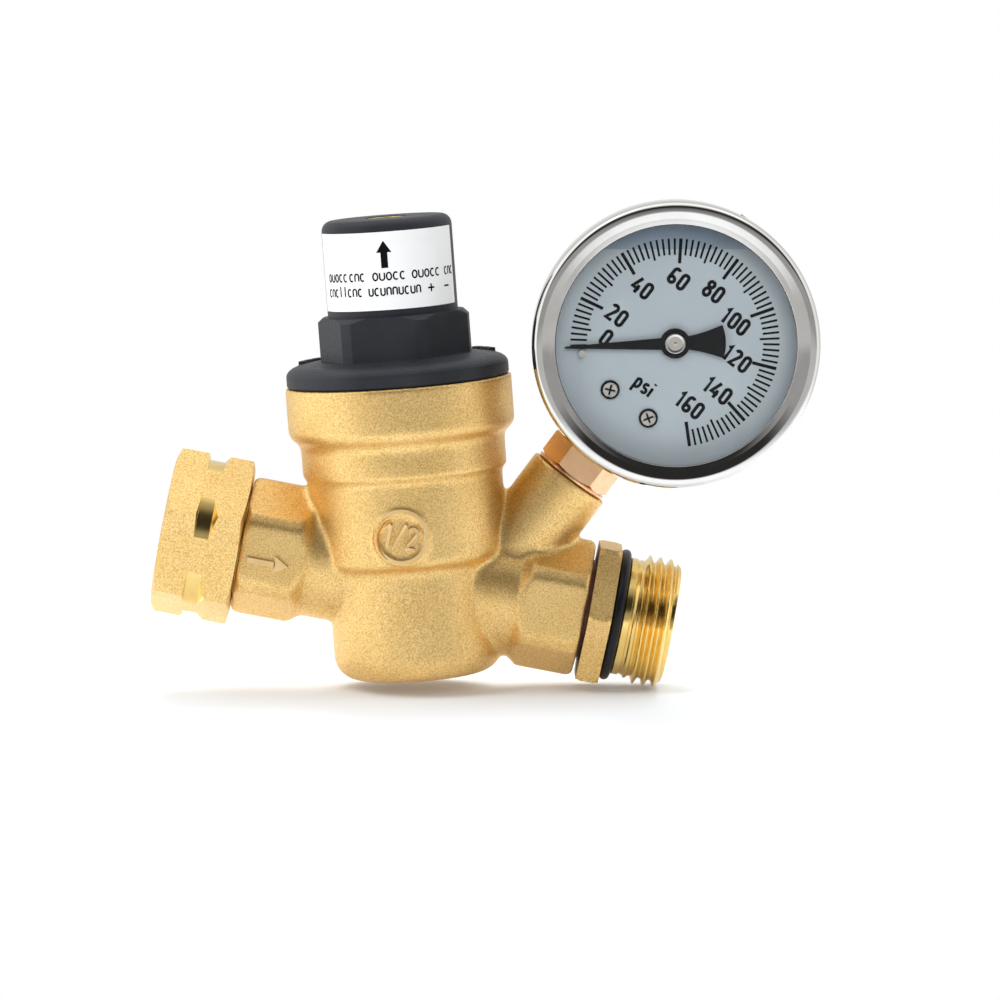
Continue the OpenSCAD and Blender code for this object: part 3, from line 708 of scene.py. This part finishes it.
def dial_print():
    """Scale marks, figures and unit, as a thin layer of ink on the dial."""
    z0, z1 = DIAL_FACE + 0.004, DIAL_FACE + 0.03
    major_r, medium_r, minor_r, outer_r = 16.4, 17.4, 18.1, 21.5
    figure_r, zero_r = 13.2, 14.2
    shells = []
    for value in range(4, FULL_SCALE + 1, 2):
        a = scale_angle(value)
        major = value % 20 == 0
        inner = major_r if major else medium_r if value % 10 == 0 else minor_r
        half = 0.34 if major else 0.22
        across = Vector(polar(1, a + 90)) * half
        p, q = Vector(polar(inner, a)), Vector(polar(outer_r, a))
        shells.append(slab([tuple(v) for v in (p - across, q - across, q + across, p + across)], z0, z1))
    # the end figures sit clear of the resting pointer and of the last marks
    turned_in = {0: 12.5, FULL_SCALE: -5.5}
    for value in range(0, FULL_SCALE + 1, 20):
        a = scale_angle(value) - turned_in.get(value, 0)
        r = zero_r if value == 0 else figure_r
        shells += written(str(value), 3.75, 0.72, z0, z1, polar(r, a))
    shells += written("psi", 3.7, 0.62, z0, z1, (0.3, -10.6))
    verts, faces = joined(shells)
    add_piece("dial_print", verts, faces, DIAL, "body", "dial_paint", ink="print_ink")


def hub_cap():
    """Dished silver hub with the small copper end of the arbor in its middle."""
    outline = [(0, 11.3), (0.45, 11.32), (1.2, 11.52), (1.9, 11.74), (2.05, 11.7), (2.1, 11.5), (2.1, 10.96),
               (0, 10.96)]
    lathe("hub_cap", outline, DIAL, "pointer", "polished_steel", steps=64, ink="screw_steel")
    pin = [(0, 11.2), (0.5, 11.2), (0.5, 11.5), (0.3, 11.62), (0, 11.66)]
    lathe("hub_pin", pin, DIAL, "pointer", "copper_alloy", steps=32)


def screw_rims():
    """Painted shade in the gap round the head of each dial screw, and painted shadow in its cross recess."""
    z = DIAL_FACE
    for side, name in ((-1, "left"), (1, "right")):
        lean = side * DIAL_SCREW_ANGLE
        x, y = polar(DIAL_SCREW_R, lean - 90)
        place = DIAL @ Matrix.Translation((x * MM, y * MM, 0))
        # painted shade: a dark ring stands on the dial round each screw head, in the gap
        outline = [(1.5, z + 0.01), (1.97, z + 0.01), (1.95, z + 0.6), (1.8, z + 0.78), (1.5, z + 0.78)]
        lathe("screw_gap_shade_" + name, outline, place, "body", "dial_paint", steps=48, ink="print_ink")
        # painted shadow: two dark strokes in the cross recess of each screw head
        arms = [[polar(1.05, lean + turn), polar(1.05, lean + turn + 180)] for turn in (40, 130)]
        verts, faces = joined([stroke(arm, 0.36, z + 0.405, z + 0.44) for arm in arms])
        add_piece("screw_recess_shadow_" + name, verts, faces, place, "body", "dial_paint", ink="print_ink")


def liquid_line():
    """The air space over the liquid in the gauge, whose surface is level with the floor."""
    up = floor_up()
    top = math.atan2(up.dot(DIAL_UP), up.dot(DIAL_RIGHT))
    half = math.acos(LIQUID_LEVEL / LIQUID_R)
    outline = [polar(LIQUID_R, math.degrees(turn)) for turn in evenly(top - half, top + half, 40)]
    add_piece("liquid_line", *slab(outline, 11.9, 12.05), DIAL, "body", "lens_glass", ink="liquid_tint")


# ------------------------------------------------------------------ bonnet


def on_barrel(x, z, out):
    """A point on the label barrel from a place on the flat artwork; x is right, z is up."""
    r = BARREL_R + out
    a = math.radians(-90) + x / BARREL_R
    return (r * math.cos(a), r * math.sin(a), z)


def wrapped(x):
    """Where a mark seen x from the middle of the front lies along the flat artwork."""
    return BARREL_R * math.asin(x / (BARREL_R + 0.15))


def letter_like(kind, x, wide, z, tall):
    """Pen strokes that look like lettering and spell nothing."""
    half = wide / 2
    high = z + tall
    round_top = bow(x + half, high - half, half, half, 180, 0, 8)
    round_foot = bow(x + half, z + half, half, half, 180, 360, 8)
    shapes = {
        "arch": [[(x, z)] + round_top + [(x + wide, z)]],
        "cup": [[(x, high)] + round_foot + [(x + wide, high)]],
        "ring": [bow(x + half, z + tall / 2, half, tall / 2, 0, 360, 16)],
        "hook": [bow(x + half, z + tall / 2, half, tall / 2, 50, 310, 12)],
        "stem": [[(x + half, z), (x + half, high + 0.6)]],
    }
    return shapes[kind]


def label_print():
    """Generic label: an arrow, two rows of marks that stand for wording, and plus and minus signs."""
    arrow_x, arrow_foot, arrow_neck = -0.6, 65.2, 68.4
    stem_half, head_half, head_tall = 0.7, 1.55, 2.4
    upper_row, lower_row = 63.5, 60.4
    upper_words = ((-12.3, -8.6), (-8.0, -5.0), (-3.2, 3.4), (4.9, 10.3), (11.4, 12.8))
    lower_words = ((-12.4, -5.7), (-4.2, 6.3))
    letter_pitch, letter_gap, letter_tall, letter_pen = 1.2, 0.42, 1.5, 0.32
    plus, minus, sign_half, sign_pen = wrapped(8.5), wrapped(11.6), 0.8, 0.36
    kinds = ("ring", "stem", "arch", "hook", "cup")
    shells = []

    def wrap(shell):
        verts, faces = shell
        shells.append(([on_barrel(x, z, h) for x, z, h in verts], faces))

    def word(x0, x1, z):
        start, end = wrapped(x0), wrapped(x1)
        count = max(2, round((end - start) / letter_pitch))
        pitch = (end - start + letter_gap) / count
        for k in range(count):
            kind = kinds[(k * k + 3 * k + count) % len(kinds)]
            x = start + k * pitch
            for line in letter_like(kind, x, pitch - letter_gap, z - letter_tall / 2, letter_tall):
                wrap(stroke(line, letter_pen, INK_LOW, INK_HIGH))

    stem = [(arrow_x - stem_half, arrow_foot), (arrow_x + stem_half, arrow_foot),
            (arrow_x + stem_half, arrow_neck), (arrow_x - stem_half, arrow_neck)]
    wrap(slab(stem, INK_LOW, INK_HIGH))
    edge = [(head_half * t, arrow_neck + head_tall * (1 - abs(t))) for t in evenly(-1, 1, 8)]
    for (x0, z0), (x1, z1) in zip(edge[:-1], edge[1:]):
        corners = [(x0, arrow_neck), (x1, arrow_neck), (x1, z1), (x0, z0)]
        shifted = [(arrow_x + x, z) for x, z in dict.fromkeys(corners)]
        wrap(slab(shifted, INK_LOW, INK_HIGH))
    for x0, x1 in upper_words:
        word(x0, x1, upper_row)
    for x0, x1 in lower_words:
        word(x0, x1, lower_row)
    signs = [[(x - sign_half, lower_row), (x + sign_half, lower_row)] for x in (plus, minus)]
    signs.append([(plus, lower_row - sign_half), (plus, lower_row + sign_half)])
    for sign in signs:
        wrap(stroke(sign, sign_pen, INK_LOW, INK_HIGH))
    verts, faces = joined(shells)
    add_piece("label_print", verts, faces, BODY, "body", "label_film", ink="print_ink")


def label_edge():
    """Painted shade: a thin dark strip along the label's left end, where the barrel turns away from the viewer."""
    left, right, low, high = -19.9, -18.55, 56.7, 72.5
    verts, faces = slab([(left, low), (right, low), (right, high), (left, high)], 0.005, 0.03)
    wrapped_verts = [on_barrel(x, z, h) for x, z, h in verts]
    # painted shade: a dark strip on the barrel at the label's left end
    add_piece("label_edge", wrapped_verts, faces, BODY, "body", "black_plastic", ink="print_ink")


def screw_crown():
    """Raised rim round the slotted end of the adjusting screw, cut through by the slot."""
    inner, outer, slot_half = 2.6, 4.05, 0.6
    foot, top = 74.1, 74.85
    outer_cut = math.degrees(math.asin(slot_half / outer))
    inner_cut = math.degrees(math.asin(slot_half / inner))
    shells = []
    for turn in (0, 180):
        rim = [polar(outer, turn + a) for a in evenly(outer_cut, 180 - outer_cut, 16)]
        hole = [polar(inner, turn + a) for a in evenly(180 - inner_cut, inner_cut, 16)]
        shells.append(slab(rim + hole, foot, top))
    verts, faces = joined(shells)
    add_piece("screw_crown", verts, faces, BODY, "adjusting_screw", "machined_brass")


# ------------------------------------------------------------------ marks on the forging


def front_of_body(x, z):
    """How far the turned body stands out towards the viewer at a place round the size mark."""
    p = Vector((MARK_X + x, 0, MARK_Z + z)) * MM - BODY_CENTRE
    across = p.dot(SIDE.cross(BODY_AXIS)) / MM
    return math.sqrt(max(1.0, BODY_R**2 - across**2))


def size_mark():
    """Raised ring with the nominal size in it, on the front of the body."""
    place = Matrix.Translation(Vector((MARK_X, 0, MARK_Z)) * MM) @ TO_VIEWER
    ring_r, ring_pen, ring_high = 5.3, 0.8, 0.75
    figure_pen, figure_high = 0.65, 0.95
    figures = (("1", -2.7, 5.2), ("/", -0.4, 5.4), ("2", 2.2, 5.2))
    sunk = 0.3
    shells = []

    def raised(points, pen, high):
        for a, b in zip(points[:-1], points[1:]):
            verts, faces = stroke([a, b], pen, 0, 1)
            bent = [(x, y, front_of_body(x, y) - sunk + h * (high + sunk)) for x, y, h in verts]
            shells.append((bent, faces))

    raised([polar(ring_r, turn) for turn in evenly(0, 360, 48)], ring_pen, ring_high)
    for figure, middle, tall in figures:
        strokes, width = GLYPHS[figure]
        for line in strokes:
            placed = [(middle + (x - width / 2) * tall, (y - 0.5) * tall) for x, y in line]
            raised(placed, figure_pen, figure_high)
    verts, faces = joined(shells)
    add_piece("size_mark", verts, faces, place, "body", "blasted_brass", ink="worn_brass")


def flow_arrow():
    """Raised arrow on the front flat of the inlet hexagon, pointing downstream."""
    place = Matrix.Translation(Vector((CENTRE_X - 30, -13, -1.4)) * MM) @ TO_VIEWER
    low, high = -0.6, 0.85
    shells = [slab([(-4.2, -0.55), (1.6, -0.55), (1.6, 0.55), (-4.2, 0.55)], low, high),
              slab([(1.4, -1.8), (4.4, 0), (1.4, 1.8)], low, high)]
    verts, faces = joined(shells)
    add_piece("flow_arrow", verts, faces, place, "body", "blasted_brass", ink="worn_brass")


# ------------------------------------------------------------------ carried-over CAD nodes


def polish_nut_groove():
    """The turned groove that cuts the nut's corners is bright where the rest is blasted."""
    mesh = frame["nodes"]["swivel_nut"].data
    mesh.materials.append(MATERIALS["bright_thread"])
    groove_start, groove_end = 6.0, 12.6
    for face in mesh.polygons:
        x, y, z = face.center / MM
        out = math.hypot(y, z)
        outward = Vector((0, y, z)).normalized().dot(face.normal)
        turned = outward > 0.9995 and abs(out - NUT_GROOVE_R) < 0.2
        sloped = 0.15 < abs(face.normal.x) < 0.99
        if groove_start < x < groove_end and out > HOSE_R + 1 and (turned or sloped):
            face.material_index = 1


def dress_cad_nodes():
    """Every CAD node that is still shown gets its node material and clean shading."""
    other = {"dial_screws": "screw_steel", "pointer_stop": "screw_steel"}
    for name, obj in frame["nodes"].items():
        obj.data.materials.clear()
        obj.data.materials.append(MATERIALS[other.get(name, SLOT_OF[name])])
        obj.data.polygons.foreach_set("use_smooth", [True] * len(obj.data.polygons))
        split = obj.modifiers.new("crisp", "EDGE_SPLIT")
        split.split_angle = math.radians(32)


# ------------------------------------------------------------------ stage

CAMERA_AZIMUTH = math.radians(-1.1)
CAMERA_ELEVATION = math.radians(5.8)
CAMERA_ROLL = math.radians(10.86)
CAMERA_DISTANCE = 1.040
CAMERA_LENS = 180.0
CAMERA_AIM = BODY_CENTRE + Vector((14.83, 0, 19.05)) * MM
FLOOR_LEAN = math.radians(6.0)
FLOOR_HALF = 0.32
FLOOR_GAP = 0.0002
FLOOR_FADE = (0.13, 0.30)
FLOOR_GLOW = 0.10

# brightness of the studio that the metal mirrors
SKY_BASE = 0.42
BACKDROP = 0.80
TABLE = 0.64

# azimuth from the viewer's side, half width, height, half height and softness in degrees, and level
SKY_PATCHES = [
    (-90, 38, 18, 45, 14, 0.95),
    (98, 30, 15, 45, 14, 0.70),
    (0, 180, 84, 20, 14, 0.95),
    (0, 50, 24, 12, 8, -0.39),
]


def camera_axes():
    """The view's own right, up and towards-the-viewer directions."""
    out = Vector((math.sin(CAMERA_AZIMUTH), -math.cos(CAMERA_AZIMUTH), 0))
    back = out * math.cos(CAMERA_ELEVATION) + Vector((0, 0, math.sin(CAMERA_ELEVATION)))
    flat = Vector((math.cos(CAMERA_AZIMUTH), math.sin(CAMERA_AZIMUTH), 0))
    rise = back.cross(flat)
    right = flat * math.cos(CAMERA_ROLL) + rise * math.sin(CAMERA_ROLL)
    up = rise * math.cos(CAMERA_ROLL) - flat * math.sin(CAMERA_ROLL)
    return right, up, back


def make_camera():
    """A long lens at the reference's viewing angle."""
    right, up, back = camera_axes()
    data = bpy.data.cameras.new("camera")
    data.lens = CAMERA_LENS
    data.sensor_width = 36
    data.clip_start = 0.01
    data.clip_end = 20
    camera = bpy.data.objects.new("camera", data)
    bpy.context.scene.collection.objects.link(camera)
    camera.matrix_world = frame_of(CAMERA_AIM + back * CAMERA_DISTANCE, right, up, back)
    bpy.context.scene.camera = camera


def floor_up():
    """The part rests tipped on its bowl and its thread, so the floor is level only in the view."""
    _, up, back = camera_axes()
    return (up * math.cos(FLOOR_LEAN) + back * math.sin(FLOOR_LEAN)).normalized()


def floor_paper():
    """White paper that fades out round the object and can't be seen from underneath."""
    n = Nodes("floor_paper")
    patches = n.noise(60.0, 2.0)
    colour = n.ramp(patches, [(0.3, (0.66, 0.685, 0.71)), (0.7, (0.68, 0.70, 0.725))])
    n.link(colour, n.shader.inputs["Base Color"])
    n.set(Roughness=0.8, Emission_Color=(1, 1, 1, 1), Emission_Strength=FLOOR_GLOW)
    clear = n.node("BsdfTransparent")
    away = n.node("VectorMath", operation="LENGTH")
    n.link(n.coord, away.inputs[0])
    edge = n.node("MapRange", interpolation_type="SMOOTHSTEP")
    edge.inputs["From Min"].default_value, edge.inputs["From Max"].default_value = FLOOR_FADE
    n.link(away.outputs["Value"], edge.inputs["Value"])
    geometry = n.node("NewGeometry")
    hidden = n.node("Math", operation="MAXIMUM")
    n.link(geometry.outputs["Backfacing"], hidden.inputs[0])
    n.link(edge.outputs["Result"], hidden.inputs[1])
    mix = n.node("MixShader")
    n.link(hidden.outputs["Value"], mix.inputs["Fac"])
    n.link(n.shader.outputs["BSDF"], mix.inputs[1])
    n.link(clear.outputs["BSDF"], mix.inputs[2])
    n.link(mix.outputs["Shader"], n.tree.nodes["Material Output"].inputs["Surface"])
    return n.material


def make_floor():
    """A square of paper just under the lowest point of the part."""
    up = floor_up()
    lowest = min(v.co.dot(up) for name in ("valve_body", "outlet_nipple", "swivel_nut")
                 for v in frame["nodes"][name].data.vertices)
    east = Vector((1, 0, 0))
    east = (east - up * east.dot(up)).normalized()
    north = up.cross(east)
    centre = CAMERA_AIM - up * (CAMERA_AIM.dot(up) - lowest + FLOOR_GAP)
    corners = [(FLOOR_HALF * x, FLOOR_HALF * y, 0) for x, y in ((-1, -1), (1, -1), (1, 1), (-1, 1))]
    mesh = bpy.data.meshes.new("floor")
    mesh.from_pydata(corners, [], [(0, 1, 2, 3)])
    mesh.materials.append(floor_paper())
    floor = bpy.data.objects.new("floor", mesh)
    bpy.context.scene.collection.objects.link(floor)
    floor.matrix_world = frame_of(centre, east, north, up)
    floor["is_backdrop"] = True


def area_light(name, towards, distance, size, power):
    """A soft box that shows in no reflection, in a direction given in the view's own axes."""
    right, up, back = camera_axes()
    direction = (right * towards[0] + up * towards[1] + back * towards[2]).normalized()
    data = bpy.data.lights.new(name, "AREA")
    data.shape = "RECTANGLE"
    data.size, data.size_y = size
    data.energy = power
    lamp = bpy.data.objects.new(name, data)
    lamp.visible_glossy = False
    bpy.context.scene.collection.objects.link(lamp)
    lamp.location = CAMERA_AIM + direction * distance
    lamp.rotation_euler = direction.to_track_quat("Z", "Y").to_euler()
    lamp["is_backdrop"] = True


class Sky:
    """Builds the studio round the object as a formula of direction, in the view's own axes."""

    def __init__(self):
        world = bpy.data.worlds.new("studio")
        bpy.context.scene.world = world
        world.use_nodes = True
        self.tree = world.node_tree
        self.background = self.tree.nodes["Background"]
        coord = self.tree.nodes.new("ShaderNodeTexCoord").outputs["Generated"]
        x, y, z = [self.dot(coord, axis) for axis in camera_axes()]
        self.azimuth = self.maths("MULTIPLY", self.maths("ARCTAN2", x, z), 180 / math.pi)
        self.height = self.maths("MULTIPLY", self.maths("ARCSINE", y, 0.0), 180 / math.pi)

    def dot(self, a, axis):
        n = self.tree.nodes.new("ShaderNodeVectorMath")
        n.operation = "DOT_PRODUCT"
        self.tree.links.new(a, n.inputs[0])
        n.inputs[1].default_value = axis
        return n.outputs["Value"]

    def maths(self, operation, a, b, clamp=False):
        n = self.tree.nodes.new("ShaderNodeMath")
        n.operation = operation
        n.use_clamp = clamp
        for socket, value in zip(n.inputs, (a, b)):
            if isinstance(value, (int, float)):
                socket.default_value = value
            else:
                self.tree.links.new(value, socket)
        return n.outputs["Value"]

    def window(self, angle, centre, half, soft):
        """1 within half degrees of centre, falling to 0 over soft degrees."""
        away = self.maths("ABSOLUTE", self.maths("SUBTRACT", angle, centre), 0)
        return self.maths("DIVIDE", self.maths("SUBTRACT", half + soft, away), soft, clamp=True)

    def patch(self, azimuth, width, height, tall, soft, level):
        """A rectangle of the sky with soft edges; width and tall are halves, in degrees."""
        a = self.window(self.azimuth, azimuth, width, soft)
        b = self.window(self.height, height, tall, soft)
        return self.maths("MULTIPLY", self.maths("MULTIPLY", a, b), level)


def make_world():
    """Soft boxes for the metal to mirror, a pale backdrop and table, and plain white for the camera."""
    sky = Sky()
    total = SKY_BASE
    for patch in SKY_PATCHES:
        total = sky.maths("ADD", total, sky.patch(*patch))
    # the backdrop stands more than 112 degrees round from the viewer and reaches 55 degrees up
    behind = sky.maths("SUBTRACT", 1.0, sky.window(sky.azimuth, 0, 112, 20))
    behind = sky.maths("MULTIPLY", behind, sky.window(sky.height, 0, 55, 25))
    total = sky.maths("MAXIMUM", total, sky.maths("MULTIPLY", behind, BACKDROP))
    # the table fades in between 2 and 10 degrees below the level of the eye
    table = sky.maths("DIVIDE", sky.maths("SUBTRACT", -2.0, sky.height), 8.0, clamp=True)
    total = sky.maths("MAXIMUM", total, sky.maths("MULTIPLY", table, TABLE))
    path = sky.tree.nodes.new("ShaderNodeLightPath")
    seen = sky.maths("MAXIMUM", total, path.outputs["Is Camera Ray"])
    sky.tree.links.new(seen, sky.background.inputs["Strength"])
    sky.background.inputs["Color"].default_value = (1, 1, 1, 1)


def make_stage():
    """Camera, floor, studio and lights."""
    make_camera()
    make_floor()
    make_world()
    area_light("key_left", (-0.8, 0.9, 0.8), 0.9, (0.45, 0.45), 3.2)
    area_light("top_back", (0.1, 1.0, -0.5), 0.8, (0.6, 0.4), 6)
    area_light("front_fill", (0.15, 0.35, 1.0), 1.2, (0.7, 0.7), 6.0)
    bpy.context.scene.view_settings.view_transform = "Standard"


def write_sizes():
    """The CAD's box and the look's box, gathered into a table that is not written out."""
    look_low, look_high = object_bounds()
    rows = {"cad_low": list(CAD_LOW), "cad_high": list(CAD_HIGH)}
    rows |= {"look_low": list(look_low), "look_high": list(look_high)}


dress_cad_nodes()
polish_nut_groove()
forged_body()
outlet_fitting()
nut_thread()
gauge_ring()
gauge_cup()
dial_print()
hub_cap()
screw_rims()
liquid_line()
label_print()
label_edge()
screw_crown()
size_mark()
flow_arrow()
make_stage()
write_sizes()
